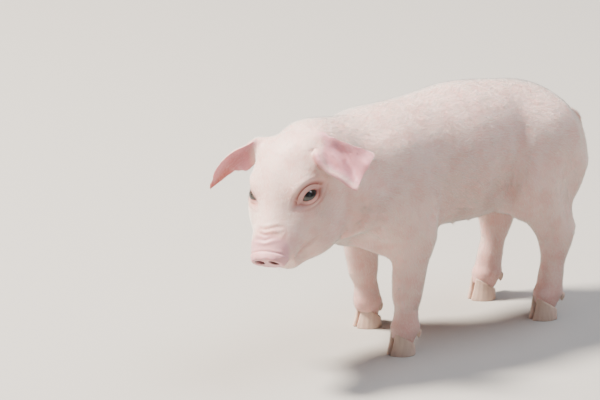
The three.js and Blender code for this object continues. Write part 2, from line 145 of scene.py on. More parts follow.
def add_softbox(name, place, size, power, colour):
    light = bpy.data.lights.new(name, "AREA")
    light.shape = "DISK"
    light.size = size
    light.energy = power
    light.color = srgb(colour)[:3]
    lamp = new_object(name, light)
    lamp.location = place
    lamp.rotation_euler = (body_middle - Vector(place)).to_track_quat("-Z", "Y").to_euler()


add_softbox("key", (-1.25, -1.4, 2.9), 0.7, 570, "#fff3e4")
add_softbox("sky", (0.4, 1.0, 2.8), 2.0, 90, "#f4f7ff")
add_softbox("fill", (2.6, -1.2, 1.4), 2.0, 8, "#f2f6ff")
print("lamps:", len(bpy.data.lights))

# %% [markdown]
# ## Landmarks
#
# Sculpting by numbers needs a frame for the head, because the head is lowered, turned and tilted.
# Three solids give it: the line between the eyes is its sideways axis, and the snout's centre
# shows which way is forward. Points in that frame are in millimetres, written (left, back, up)
# from the middle between the eyes.

# %% The head's own frame
def centre_of(name):
    low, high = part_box(name)
    return (low + high) / 2


left_eye_centre = centre_of("left_eye")
right_eye_centre = centre_of("right_eye")
eye_middle = (left_eye_centre + right_eye_centre) / 2
half_apart = (left_eye_centre - right_eye_centre).length / 2 / mm
head_left = (left_eye_centre - right_eye_centre).normalized()
toward_snout = centre_of("snout") - eye_middle
muzzle_drop = 18 * mm
level_run = math.sqrt(toward_snout.length_squared - muzzle_drop ** 2)
slant = math.atan2(muzzle_drop, level_run)
toward_snout = (toward_snout - head_left * toward_snout.dot(head_left)).normalized()
head_back = -(Matrix.Rotation(-slant, 3, head_left) @ toward_snout)
head_up = head_left.cross(head_back)
head_axes = np.array([head_left, head_back, head_up])
eye_middle_point = np.array(eye_middle)


def on_head(left, back, up):
    return eye_middle + (head_left * left + head_back * back + head_up * up) * mm


def in_head(points):
    return (points - eye_middle_point) @ head_axes.T / mm


print("eyes apart mm:", round(2 * half_apart, 1), "snout in head:",
      in_head(np.array([centre_of("snout")])).round(1))

# %% [markdown]
# ## One skin over all the flesh
#
# A real skin has no seams at the neck or shoulder. The solids of flesh are copied, swollen by half
# a millimetre so that the thin gaps between them close, and wrapped by the voxel Remesh, which
# keeps only the outer surface. The thin ears and tail are first evened out by a finer Remesh and
# swollen more, so that no voxel misses them. Most of that is taken off again below. Hand modelling
# one cage over the whole animal would follow the anatomy's lines better, but it would not keep to
# the solids as closely.

# %% The blank
flesh_names = sorted(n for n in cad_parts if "claw" not in n and not n.endswith("_eye"))
swell = 0.5 * mm
thin_swells = {"left_ear": 1.7 * mm, "right_ear": 1.7 * mm, "tail": 2.6 * mm}
voxel = 2.7 * mm
fine_voxel = 0.7 * mm


def apply_modifiers(piece):
    shape = piece.evaluated_get(bpy.context.evaluated_depsgraph_get())
    finished = bpy.data.meshes.new_from_object(shape)
    piece.modifiers.clear()
    piece.data = finished


def remesh(piece, size):
    wrap = piece.modifiers.new("wrap", "REMESH")
    wrap.mode = "VOXEL"
    wrap.voxel_size = size


def merged_copy(name):
    solid = bmesh.new()
    solid.from_mesh(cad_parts[name].data)
    bmesh.ops.remove_doubles(solid, verts=solid.verts, dist=0.01 * mm)
    copy = new_object(name + " copy", bpy.data.meshes.new(name + " copy"))
    solid.to_mesh(copy.data)
    solid.free()
    return copy


blank = bmesh.new()
for name in flesh_names + ["left_eye", "right_eye"]:
    copy = merged_copy(name)
    if name in thin_swells:
        remesh(copy, fine_voxel)
        smooth = copy.modifiers.new("smooth", "SMOOTH")
        smooth.iterations = 6
    inflate = copy.modifiers.new("inflate", "DISPLACE")
    inflate.mid_level = 0
    inflate.strength = thin_swells.get(name, swell)
    apply_modifiers(copy)
    blank.from_mesh(copy.data)
    bpy.data.objects.remove(copy)

skin = new_object("skin", bpy.data.meshes.new("skin"))
blank.to_mesh(skin.data)
blank.free()

remesh(skin, voxel)
apply_modifiers(skin)
print("blank faces:", len(skin.data.polygons))

# %% [markdown]
# The mesh is worked on as arrays of points, which is quick enough to move a hundred thousand of
# them at once. Each point also gets the name of the solid nearest to it, so that the ears, legs
# and trunk can be treated differently, and any value can be spread over the surface to make a
# soft border between two regions.

# %% Working on the skin's points
def read_rows(items, what, width, kind=np.float32):
    values = np.zeros(len(items) * width, kind)
    items.foreach_get(what, values)
    return values.reshape(-1, width)


def read_points():
    return read_rows(skin.data.vertices, "co", 3).astype(float)


def write_points(points):
    skin.data.vertices.foreach_set("co", points.astype(np.float32).ravel())
    skin.data.update()


def read_normals():
    return read_rows(skin.data.vertices, "normal", 3).astype(float)


def keep_at_points(mesh, name, values):
    attribute = mesh.attributes.new(name, "FLOAT", "POINT")
    attribute.data.foreach_set("value", values.astype(np.float32))


def count_triangles():
    skin.data.calc_loop_triangles()
    print("skin triangles:", len(skin.data.loop_triangles))


def neighbours():
    edges = read_rows(skin.data.edges, "vertices", 2, np.int32)
    starts = np.concatenate([edges[:, 0], edges[:, 1]])
    ends = np.concatenate([edges[:, 1], edges[:, 0]])
    return starts, ends, np.bincount(starts, minlength=len(skin.data.vertices))


def averaged(values, links):
    starts, ends, count = links
    if values.ndim == 1:
        return np.bincount(starts, values[ends], len(count)) / count
    return np.stack([averaged(column, links) for column in values.T], axis=1)


def spread(values, times):
    links = neighbours()
    for _ in range(times):
        values = (values + averaged(values, links)) / 2
    return values


def relax(points, weight, times):
    """Smooths facets away, swelling back after each step so that thin parts keep their size."""
    links = neighbours()
    for _ in range(times):
        for step in (0.5, -0.4):
            points = points + (averaged(points, links) - points) * (step * weight)[:, None]
    return points


def nearest_names(points):
    corners, triangles, owners = [], [], []
    for index, name in enumerate(flesh_names):
        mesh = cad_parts[name].data
        start = len(corners)
        corners += [vertex.co for vertex in mesh.vertices]
        mesh.calc_loop_triangles()
        triangles += [[start + corner for corner in face.vertices] for face in mesh.loop_triangles]
        owners += [index] * len(mesh.loop_triangles)
    finder = BVHTree.FromPolygons(corners, triangles)
    return np.array([owners[finder.find_nearest(Vector(point))[2]] for point in points])


def region(*words):
    wanted = [i for i, name in enumerate(flesh_names) if any(word in name for word in words)]
    return np.isin(owner, wanted).astype(float)


# %% [markdown]
# The solids have flat facets, which the first smoothing melts into round flesh. The thin ears and
# tail, the snout and the lower legs are smoothed less, so that they keep their shape.

# %% Smoothing
points = read_points()
owner = nearest_names(points)
softness = 1 - 0.5 * region("ear", "tail") - 0.5 * region("lower_leg", "snout")
points = relax(points, spread(softness, 6), 60)
write_points(points)
print("smoothed points:", len(points))

# %% [markdown]
# ## Finer mesh where the detail is
#
# The lids need a point every third of a millimetre, the nostrils every two thirds and the ears
# every one and a third, which the whole body doesn't. Only the edges near them are subdivided, and
# the new points are then relaxed onto a round surface. In between, the skin is drawn in to make
# room for the coat, by more where it was swollen more and by less on the bare snout.

# %% Local subdivision
def refine(is_near):
    points = read_points()
    near = is_near(points)
    mesh = bmesh.new()
    mesh.from_mesh(skin.data)
    mesh.verts.ensure_lookup_table()
    edges = [e for e in mesh.edges if near[e.verts[0].index] and near[e.verts[1].index]]
    bmesh.ops.subdivide_edges(mesh, edges=edges, cuts=1, use_grid_fill=True)
    mesh.to_mesh(skin.data)
    mesh.free()
    points = read_points()
    points = relax(points, spread(is_near(points).astype(float), 2), 4)
    write_points(points)


snout_centre = centre_of("snout")


def within(points, centre, reach):
    return np.linalg.norm(points - np.array(centre), axis=1) < reach * mm


def near_eyes(reach):
    """Tells which points lie near the lids' openings, which are in front of the eyeballs' centres."""
    openings = [on_head(side * (half_apart + 5), -3, 4) for side in (1, -1)]
    return lambda points: within(points, openings[0], reach) | within(points, openings[1], reach)


def near_face(points):
    place = in_head(points)
    muzzle = (place[:, 1] < -8) & (place[:, 2] > -58)
    return muzzle | near_eyes(24)(points)


def near_ears(points):
    ears = [flesh_names.index("left_ear"), flesh_names.index("right_ear")]
    return np.isin(nearest_names(points), ears)


refine(near_face)
refine(near_ears)
owner = nearest_names(read_points())
coat_depth = (1.2 + 0.3 * region("ear") + 0.5 * region("tail") - 0.7 * region("snout")) * mm
points = read_points()
on_ears = spread(region("ear"), 3)
points = relax(points, on_ears, 30)
write_points(points)
drawn_in = points - read_normals() * spread(coat_depth, 10)[:, None]
write_points(relax(drawn_in, on_ears, 12))
refine(near_eyes(18))
refine(near_eyes(15))
refine(lambda points: within(points, snout_centre, 23) & (in_head(points)[:, 1] < -62))
owner = nearest_names(read_points())
count_triangles()

# %% [markdown]
# ## Folds and hollows of the body
#
# Three brushes do the sculpting. A crease follows a line of landmarks over the surface, a swell
# raises or sinks a rounded patch, and a drag moves a thin ear whole. Landmarks of the body are
# written in millimetres from the point on the floor under the middle of the piglet, and those of
# the head in the head's own frame. A crease's landmarks are dropped onto the skin first, so they
# only have to be roughly right.

# %% Brushes
def skin_finder():
    mesh = bmesh.new()
    mesh.from_mesh(skin.data)
    finder = BVHTree.FromBMesh(mesh)
    mesh.free()
    return finder


def on_body(left, back, up):
    return Vector((left, back, up)) * mm


def smooth_line(landmarks, finder, steps=8):
    """A rounded line through the landmarks, dropped onto the skin."""
    knots = [Vector(p) for p in landmarks]
    knots = [knots[0] * 2 - knots[1], *knots, knots[-1] * 2 - knots[-2]]
    line = []
    for a, b, c, d in zip(knots, knots[1:], knots[2:], knots[3:]):
        for step in range(steps):
            t = step / steps
            line.append((b * 2 + (c - a) * t + (a * 2 - b * 5 + c * 4 - d) * t ** 2
                         + (b * 3 - a - c * 3 + d) * t ** 3) / 2)
    line.append(knots[-2])
    return np.array([finder.find_nearest(p)[0] for p in line])


def away_from(points, line):
    """Each point's distance in millimetres from a line, and how far along the line it lies, 0 to 1."""
    best = np.full(len(points), np.inf)
    along = np.zeros(len(points))
    spans = len(line) - 1
    for index, (start, end) in enumerate(zip(line, line[1:])):
        run = end - start
        share = np.clip(((points - start) @ run) / max(run @ run, 1e-12), 0, 1)
        distance = np.linalg.norm(points - start - share[:, None] * run, axis=1)
        closer = distance < best
        best[closer] = distance[closer]
        along[closer] = (index + share[closer]) / spans
    return best / mm, along


def bell(distance, width):
    return np.exp(-(distance / width) ** 2)


creases = []


def crease(landmarks, depth, width, lip=0.3, pink_and_shade=0.5):
    """Sinks a groove along the landmarks, fading at both ends, and raises a soft lip beside it."""
    points = read_points()
    distance, along = away_from(points, smooth_line(landmarks, skin_finder()))
    fade = np.sin(np.pi * np.clip(along, 0.02, 0.98)) ** 0.5
    groove = bell(distance, width) * fade
    lips = bell(distance - 2.2 * width, width) * fade
    write_points(points + read_normals() * ((lip * lips - groove) * depth * mm)[:, None])
    # The line is kept for the colour: the groove is later tinted pinker and darker, partly pink skin and
    # partly painted shade.
    creases.append((landmarks, width, pink_and_shade))


def swell_out(centre, radii, height):
    """Raises (or sinks, with a negative height) a rounded patch; the radii are left, back and up."""
    points = read_points()
    nearness = np.linalg.norm((points - np.array(centre)) / (np.array(radii) * mm), axis=1)
    write_points(points + read_normals() * (bell(nearness, 1) * height * mm)[:, None])


def head_line(landmarks):
    return np.array([on_head(*landmark) for landmark in landmarks])


def drag(landmarks, move, width, only=None, fade=0.0):
    """Drags the skin near a line of head landmarks by one vector, both faces of a thin ear together."""
    points = read_points()
    line = head_line(landmarks)
    if len(line) == 1:
        distance = np.linalg.norm(points - line[0], axis=1) / mm
        fading = 1.0
    else:
        distance, along = away_from(points, line)
        fading = 1 - fade * (2 * along - 1) ** 2
    weight = bell(distance, width) * fading
    if only is not None:
        weight = weight * only
    write_points(points + weight[:, None] * (np.array(move) @ head_axes * mm))


# %% [markdown]
# The flank is the deepest hollow of a young pig's body: in front of each thigh the belly wall sinks
# in behind the last rib, and the thigh's front edge stands over it as a fold. A softer groove lies
# behind each shoulder and elbow.

# %% Body forms
trunk_left = -7
trunk_back = -36


def on_trunk(side, landmarks):
    """Puts landmarks that are written from the trunk's own middle on its left or right side."""
    return [on_body(side * left + trunk_left, back + trunk_back, up) for left, back, up in landmarks]


for side in (1, -1):
    swell_out(on_body(side * 50, 77, 158), (16, 17, 34), -7.5)  # flank
    swell_out(on_body(side * 58, 114, 156), (22, 20, 36), 3.6)  # thigh
    swell_out(on_body(side * 56, -32, 176), (24, 24, 26), 2.5)  # shoulder
    swell_out(on_body(side * 56, 8, 150), (16, 14, 36), -2.6)  # behind the elbow
    thigh_edge = [(40, 138, 206), (50, 131, 186), (54, 128, 166), (51, 129, 148), (44, 134, 134),
                  (34, 142, 124)]
    above_thigh = [(19, 152, 240), (34, 142, 216), (46, 134, 196), (54, 129, 174)]
    behind_elbow = [(58, 36, 176), (57, 36, 158), (54, 34, 140), (46, 30, 124)]
    crease(on_trunk(side, thigh_edge), 4.4, 6, lip=0.15, pink_and_shade=0.15)
    crease(on_trunk(side, above_thigh), 1.0, 9, pink_and_shade=0)
    crease(on_trunk(side, behind_elbow), 1.4, 6, pink_and_shade=0.1)
print("creases:", len(creases))

# %% [markdown]
# Seven pairs of small teats stand along the belly. They are finer than the skin's faces there, so
# those are subdivided twice first.

# %% Teats
teat_aside = 17
teats_back = range(-18, 120, 20)
finder = skin_finder()
teats = [finder.find_nearest(on_body(side * teat_aside, back, 90))[0]
         for side in (1, -1) for back in teats_back]


def near_teats(points):
    return np.any([within(points, teat, 5) for teat in teats], axis=0)


refine(near_teats)
refine(near_teats)
for teat in teats:
    swell_out(teat, (2.2, 2.2, 2.2), 2.4)
owner = nearest_names(read_points())
print("teats:", len(teats))
count_triangles()

# %% [markdown]
# Below the body the bones lie just under the skin, so a leg has corners: the knee bulges forwards,
# the hock stands out behind under the hollow of the tendon, and the fetlock swells above the foot.
# Where the skin meets the claws it thickens into a soft cuff.

# %% Leg forms
sole_places = {name: (centre_of(name + "_claw_a") + centre_of(name + "_claw_b")) / 2 / mm
               for name in ("left_fore", "right_fore", "left_hind", "right_hind")}
cuff_drop = 2.6 * mm
for name, sole in sole_places.items():
    x, y = sole.x, sole.y
    swell_out(on_body(x, y, 27), (17, 22, 5), 1.7)  # cuff
    points = read_points()
    under = (read_normals()[:, 2] < -0.3) & (np.hypot(points[:, 0] / mm - x, points[:, 1] / mm - y) < 24)
    under &= points[:, 2] < 34 * mm
    write_points(points - np.array((0, 0, cuff_drop)) * spread(under.astype(float), 2)[:, None])
    swell_out(on_body(x, y + 8, 41), (12, 10, 8), 1.0)  # fetlock
    for letter in ("a", "b"):
        swell_out(centre_of(name + "_dewclaw_" + letter) + on_body(0, 0, 3), (6, 6, 6), 2.0)
    if "fore" in name:
        swell_out(on_body(x, y - 14, 82), (11, 9, 10), 2.2)  # front of the knee
        swell_out(on_body(x, y + 14, 88), (10, 8, 9), 1.2)  # back of the knee
        swell_out(on_body(x, y + 4, 60), (16, 16, 8), -1.2)  # cannon
    else:
        swell_out(on_body(x, y + 33, 92), (11, 9, 9), 3.4)  # point of the hock
        swell_out(on_body(x, y + 36, 116), (16, 12, 12), -3.2)  # hollow of the tendon
        swell_out(on_body(x, y + 2, 66), (16, 18, 12), -1.3)  # cannon
print("feet at:", {name: tuple(round(v) for v in sole) for name, sole in sole_places.items()})

# %% [markdown]
# ## Eyelids
#
# A pig's eye is a ball with thick lids drawn over it, so each lid is shaped by its distance from the
# opening, an almond whose two arcs meet in the inner corner by the snout and the outer corner by
# the ear. Around the opening the skin is laid over the eyeball like a coat; inside the opening it
# is pushed behind the eyeball's surface, which then shows. Above the upper lid's soft pouch runs
# the fold into which the lid slides when the eye opens.

# %% Lids
opening_half_length = 13.6
upper_arc = 5.9
lower_arc = 4.1
upper_fold = 6.3
near_fold = 4.6
far_fold = 8.2
upper_fold_depth = 2.6
lower_fold_depth = 0.8
brow_height = 0.6
ball_radius = 9.8
film = 0.6
ball_sunk = 3.0
right_side_moved = 4.0
eye_moved = np.array((0, -1.9, -1.3))


def eye_directions(side):
    """The way the opening faces, its long direction towards the ear, and its upward direction."""
    facing = Vector((0.66 if side > 0 else -0.78, -0.45, 0.60)).normalized()
    long = Vector((0.60 * side, 0.80, -0.06))
    long = (long - facing * long.dot(facing)).normalized()
    return np.array(facing), np.array(long), np.array(facing.cross(long) * side)


def arc_radius(arc):
    return (opening_half_length ** 2 + arc ** 2) / (2 * arc)


def opening_distance(place, side):
    """How far points lie outside the almond, measured over the ball; negative inside it."""
    facing, long, high = eye_directions(side)
    radius = np.linalg.norm(place, axis=1)
    turn = np.arccos(np.clip(place @ facing / radius, -1, 1))
    across = np.maximum(np.hypot(place @ long, place @ high), 1e-6)
    reach = np.maximum(ball_radius * turn, across)
    u = reach * (place @ long) / across
    v = reach * (place @ high) / across
    upper = np.hypot(u, v - upper_arc + arc_radius(upper_arc)) - arc_radius(upper_arc)
    lower = np.hypot(u, v + lower_arc - arc_radius(lower_arc)) - arc_radius(lower_arc)
    return np.maximum(upper, lower), v, radius


def smooth_step(values, low, high):
    share = np.clip((values - low) / (high - low), 0, 1)
    return share * share * (3 - 2 * share)


def ball_centre(side):
    """The middle of an eyeball in the head's frame, set back from the solid's, and the right one in."""
    middle = np.array([side * half_apart + (right_side_moved if side < 0 else 0), 0, 0])
    return middle + eye_moved - ball_sunk * eye_directions(side)[0]


lid_places = {}
drag([(-38, 24, 6), (-36, 4, 4), (-30, -14, 2)], np.array((right_side_moved, 0, 0)), 20)
for side in (1, -1):
    drag([(side * 34, 0, 3)], eye_moved, 14)
    swell_out(on_head(side * 33, 0, 4), (19, 17, 17), 1.8)
    points = read_points()
    place = in_head(points) - ball_centre(side)
    near = np.nonzero(np.linalg.norm(place, axis=1) < 36)[0]
    distance, height, radius = opening_distance(place[near], side)
    lid_places[side] = near, distance, height
    above = smooth_step(height, -2.5, 2.5)
    rise = 1.5 * smooth_step(distance, 0, 4.5) * above + 0.9 * smooth_step(distance, 0, 4) * (1 - above)
    brow = brow_height * bell(distance - 9.6, 2.6) * above
    fold = upper_fold_depth * bell(distance - upper_fold, 0.8) * above
    lower_folds = lower_fold_depth * bell(distance - near_fold, 0.8)
    lower_folds += lower_fold_depth * bell(distance - far_fold, 0.9)
    fold += lower_folds * (1 - above)
    merge = smooth_step(distance, 2.0, 8.5)
    shaped = (ball_radius + film + rise) * (1 - merge) + radius * merge - fold + brow
    edge = smooth_step(distance, -0.5, 0.35)
    shaped = (ball_radius - 1.6) * (1 - edge) + np.where(distance < 0, ball_radius + film, shaped) * edge
    place[near] *= (shaped / radius)[:, None]
    write_points(eye_middle_point + (place + ball_centre(side)) @ head_axes * mm)
print("eye opening, mm:", 2 * opening_half_length, "by", upper_arc + lower_arc)

# %% [markdown]
# ## Snout, mouth and chin
#
# The snout ends in a flat oval disc with a raised rim. The two nostrils are sunk into it as deep
# pits. Behind the rim the skin of the muzzle gathers in a few soft folds, and the mouth is a line
# that starts under the disc and curls up at its corner.

# %% Snout
disc_up = -18
disc_face = in_head(np.array([on_head(0, -73, disc_up)]))[0, 1]
nostril_aside = 7.8
nostril_up = -16
nostril_tilt = 0.44
nostril_depth = 7.5
rim_height = 1.6
points = read_points()
place = in_head(points)
for side in (1, -1):
    aside = place[:, 0] - side * nostril_aside
    above = place[:, 2] - nostril_up
    u = aside * math.cos(nostril_tilt) + above * side * math.sin(nostril_tilt)
    v = above * math.cos(nostril_tilt) - aside * side * math.sin(nostril_tilt)
    nearness = np.hypot(u / 4.1, v / 5.6)
    pit = (nearness < 1) & (place[:, 1] < -60)
    place[pit, 1] = disc_face + nostril_depth * np.sqrt(1 - nearness[pit] ** 2)
    ring = bell(nearness - 1.35, 0.3) * (place[:, 1] < -64) * (nearness >= 1)
    place[:, 1] -= 0.6 * ring
on_disc = within(read_points(), snout_centre, 26) & (place[:, 1] < -58)
write_points(relax(eye_middle_point + place @ head_axes * mm, spread(on_disc.astype(float), 2), 6))

points = read_points()
place = in_head(points)
disc_share = np.hypot(place[:, 0] / 17.5, (place[:, 2] - disc_up) / 14.5)
front = smooth_step(-place[:, 1], 62, 69)
place[:, 1] -= rim_height * bell(disc_share - 0.92, 0.13) * front
groove = bell(place[:, 1] + 68.0, 1.2) * smooth_step(place[:, 2], -26, -12)
lean_back = np.clip((-4 - place[:, 2]) / 28, 0, 1.2) * smooth_step(-place[:, 1], 50, 68)
place[:, 1] += 8.0 * lean_back
centre_line = np.array([0, 0, disc_up])
inward = centre_line - place
inward[:, 1] = 0
inward /= np.linalg.norm(inward, axis=1)[:, None] + 1e-9
place += inward * (0.9 * groove)[:, None]
write_points(eye_middle_point + place @ head_axes * mm)

for back, lean, depth in ((-59.0, 0.08, 0.9), (-53.5, -0.08, 0.8), (-47.5, 0.06, 0.6)):
    muzzle_fold = [on_head(left, back + abs(left) * 0.25 + left * lean, 6) for left in range(-18, 19, 6)]
    crease(muzzle_fold, depth, 1.7, lip=0.8, pink_and_shade=0.45)
for side in (1, -1):
    mouth = [(6, -62, -35), (14, -58, -37), (22, -44, -37), (28, -28, -36), (31, -18, -33)]
    crease([on_head(side * left, back, up) for left, back, up in mouth], 1.0, 2.0, pink_and_shade=0.3)
print("creases with muzzle and mouth:", len(creases))

# %% [markdown]
# ## Ears
#
# The ears are half lop: each hangs forwards as a leaf whose hollow faces down and outwards. The left
# one has a rolled front rim, a valley along its middle and a rear corner drawn out to a point, and
# the right one narrows to its tip like a horn. What lies near a landmark is dragged, both faces of
# the ear together. One line of landmarks sinks the head's skin under the left ear's front rim.

# %% Ear forms
ear_out = np.array((0.457, -0.481, 0.748))
ear_up = np.array((-0.022, 0.832, 0.553))
ear_across = np.array((0.889, 0.268, -0.367))


def point_ear(root, tip, narrowing, only):
    """Draws the last half of an ear in towards the line from its root to its tip."""
    points = read_points()
    start = np.array(on_head(*root))
    axis = np.array(on_head(*tip)) - start
    share = (points - start) @ axis / (axis @ axis)
    offset = points - start - share[:, None] * axis
    pull = narrowing * smooth_step(share, 0.3, 1.05) * only
    write_points(points - offset * pull[:, None])


left_ear = spread(region("left_ear"), 14)
drag([(60, 54, 19), (72, 53, 12), (84, 51, 4)], -ear_up * 8 - ear_out * 2, 13, left_ear)
drag([(87, 48, 2)], ear_across * 3 - ear_up * 6, 11, left_ear)
drag([(83, 16, -4)], -ear_across * 5 - ear_up * 7, 9, left_ear)
drag([(53, 23, 8), (62, 20, 5), (71, 17, 1)], -ear_across * 3 - ear_up * 6.5, 9, left_ear)
point_ear((45, 44, 20), (78, 11, -8), 0.35, left_ear)
drag([(87, 51, 4)], ear_across * 19 - ear_up * 11, 9, left_ear)
drag([(80, 57, 12)], -ear_up * 11 + ear_across * 2, 9, left_ear)
drag([(70, 55, 16)], -ear_up * 5, 8, left_ear)
drag([(58, 42, 18), (66, 36, 12), (73, 27, 5), (77, 18, -1)], -ear_out * 8, 6, left_ear, fade=0.5)
front_rim = [(42, 32, 22), (48, 22, 17), (56, 18, 12), (68, 15, 3), (78, 11, -7)]
drag(front_rim, ear_out * 4.2, 3.5, left_ear)
behind_rim = [(left + 5, back + 2, up - 2) for left, back, up in front_rim[:-1]]
drag(behind_rim, -ear_out * 3, 3.2, left_ear, fade=0.8)
drag([(87, 34, 1), (91, 40, 2)], ear_out * 4.5, 7, left_ear)
drag([(42, 31, 21), (46, 26, 18)], ear_out * 2.5 - ear_across * 4 + ear_up * 4, 6)
under_rim = [(36, 33, 24), (41, 27.5, 17), (47, 22, 10), (53, 18, 3)]
drag(under_rim, -ear_out * 3.5, 2.6, 1 - left_ear)
# The same line gets a painted shadow in the colour, where the rolled rim shades the head.
creases.append((head_line(under_rim), 2.0, 0.7))
right_ear = spread(region("right_ear"), 14)
drag([(-80, 20, 11), (-72, 26, 14)], ear_across * 8 - ear_up * 2, 16, right_ear)
drag([(-42, 38, 18), (-52, 31, 13)], -ear_up * 11, 9, right_ear)
drag([(-37, 35, 16), (-44, 31, 13)], -ear_up * 12, 8)
point_ear((-42, 40, 22), (-91, 1, -6), 0.5, right_ear)
write_points(relax(read_points(), np.maximum(left_ear, right_ear), 60))
print("ears shaped")

# %% [markdown]
# ## Rump
#
# Under the tail a cleft runs down between the hams.

# %% Rump
cleft = [on_body(0, 206, 196), on_body(0, 208, 178), on_body(0, 204, 158), on_body(0, 190, 138)]
crease(cleft, 3.4, 5.5, pink_and_shade=0.25)
swell_out(on_body(0, 209, 190), (6, 6, 7), -1.5)

skin.data.shade_smooth()
print("creases so far:", len(creases))

# %% [markdown]
# ## The unwrap
#
# Every hair takes the colour of the skin under its root, so skin and coat share one UV map. The
# whole skin is cut into islands by the way it faces, which needs no seams to be chosen by hand.

# %% Unwrap
skin.data.uv_layers.new(name="OFBake")
bpy.context.view_layer.objects.active = skin
skin.select_set(True)
bpy.ops.object.mode_set(mode="EDIT")
bpy.ops.mesh.select_all(action="SELECT")
bpy.ops.uv.smart_project(angle_limit=math.radians(66), island_margin=0.002)
bpy.ops.object.mode_set(mode="OBJECT")
print("unwrapped:", len(skin.data.uv_layers["OFBake"].uv), "corners")

# %% [markdown]
# ## Where the skin is pinker, bare or thin, and where shade is painted
#
# White pigs are pink wherever blood shows through thin skin and thin hair: the snout's disc, the
# lids, the insides of the ears, the feet, and deep in every fold. Painted shade darkens the folds,
# the lids' creases and the nostrils, a painted shadow lies under the left ear's rim, and a painted
# glow of light shining through the ears reddens their hollows. Each of these is a mask, a number
# from 0 to 1 kept at every point, which the skin's and the coat's materials both read.

# %% Masks
points = read_points()
normals = read_normals()
place = in_head(points)

bare_from = 61 - 11 * smooth_step(place[:, 2], -22, -4)
bare_disc = smooth_step(-place[:, 1] - bare_from, 0, 5) * within(points, snout_centre, 34)
deep_shade = np.zeros(len(points))
eyelid = np.zeros(len(points))
thin_haired = np.zeros(len(points))
fold = np.zeros(len(points))


def raise_to(mask, where, values):
    mask[where] = np.maximum(mask[where], values)


for side in (1, -1):
    # The nostril pits are coloured nearly black here: painted shade deep in the holes.
    nearness = np.hypot((place[:, 0] - side * nostril_aside) / 4.9, (place[:, 2] - nostril_up) / 6.2)
    deep_shade = np.maximum(deep_shade, (1 - smooth_step(nearness, 0.75, 1.15)) * (place[:, 1] < -58))
    near, distance, height = lid_places[side]
    raise_to(eyelid, near, 1 - smooth_step(distance, 3.5, 7.5))
    raise_to(thin_haired, near, 1 - smooth_step(distance, 6.5, 12))
    above = smooth_step(height, -2.5, 2.5)
    # The lid lines are painted shade in the upper and lower lid folds and the inner corner, and a darker
    # lid edge that is partly its own colour and partly painted shade.
    lid_lines = 0.85 * bell(distance - upper_fold, 0.9) * above + 0.8 * bell(distance, 0.7)
    lower_lines = 0.6 * bell(distance - near_fold, 0.8) + 0.4 * bell(distance - far_fold, 0.8)
    lid_lines += lower_lines * (1 - above)
    inner_corner = ball_centre(side) + eye_directions(side)[1] * -12 + (0, 0, 7)
    lid_lines = np.maximum(lid_lines, 0.5 * bell(np.linalg.norm(place[near] - inner_corner, axis=1), 5))
    raise_to(fold, near, lid_lines)
    # Painted shade also darkens the deepest line of the upper lid's fold.
    raise_to(deep_shade, near, 0.4 * bell(distance - upper_fold, 0.6) * above)
# Along every crease the colour turns pinker and darker: pink skin and painted shade in the groove.
for landmarks, width, pink_and_shade in creases:
    distance, along = away_from(points, smooth_line(landmarks, skin_finder()))
    fold = np.maximum(fold, pink_and_shade * bell(distance, width * 0.9) * np.sin(np.pi * np.clip(along, 0, 1)))


def ear_inside():
    """How surely a point lies on the hollow side of an ear, which looks down and forwards."""
    inside = np.zeros(len(points))
    for name in ("left_ear", "right_ear"):
        on_ear = region(name) > 0
        middle = points[on_ear].mean(axis=0)
        flat = np.linalg.svd(points[on_ear] - middle, full_matrices=False)[2][2]
        flat = flat if flat @ np.array(head_back) < 0 else -flat
        inside = np.maximum(inside, on_ear * smooth_step(normals @ flat, -0.1, 0.4))
    return inside


def from_head_line(landmarks):
    return away_from(points, head_line(landmarks))[0]


low_leg = 1 - smooth_step(points[:, 2] / mm, 12, 60)
inside = spread(ear_inside(), 8)
inside *= 1 - 0.85 * bell(from_head_line(front_rim), 2.8)
right_lower_edge = [(-41, 38, 18), (-54, 30, 15), (-68, 19, 4), (-80, 12, -6)]
left_root = [(46, 36, 20), (60, 26, 10)]
# A painted glow of light shining through the thin ear reddens its hollow side, most along the right ear's
# lower edge and a little at the left ear's root.
painted_glow = 0.95 * bell(from_head_line(right_lower_edge), 10) * inside
painted_glow = np.maximum(painted_glow, 0.3 * bell(from_head_line(left_root), 7) * inside)
fold = np.maximum(fold, painted_glow)
muzzle_top = smooth_step(-place[:, 1], 38, 58) * smooth_step(place[:, 2], -26, -8)
blush = spread(np.clip(0.45 * low_leg + 0.65 * eyelid + 0.25 * region("tail") + 0.5 * muzzle_top, 0, 1), 3)
# fold holds pink skin in the creases with its painted shade, the painted shadow under the ear's rim and
# the painted glow of the ears; the deep-shade mask is painted shade only.
masks = {
    "blush": blush,
    "fold": fold,
    "bare": np.clip(bare_disc, 0, 1),
    "deep_shade": deep_shade,
    "ear": inside,
}
for name, values in masks.items():
    keep_at_points(skin.data, name, values)
print("masks:", {name: round(float(values.mean()), 3) for name, values in masks.items()})

# %% [markdown]
# ## The colours, shared by skin and coat
#
# One group of nodes mixes the colours for both. Living pink skin is blotchy at the size of a
# fingertip, so a soft noise of about 14 mm leads between two pinks.

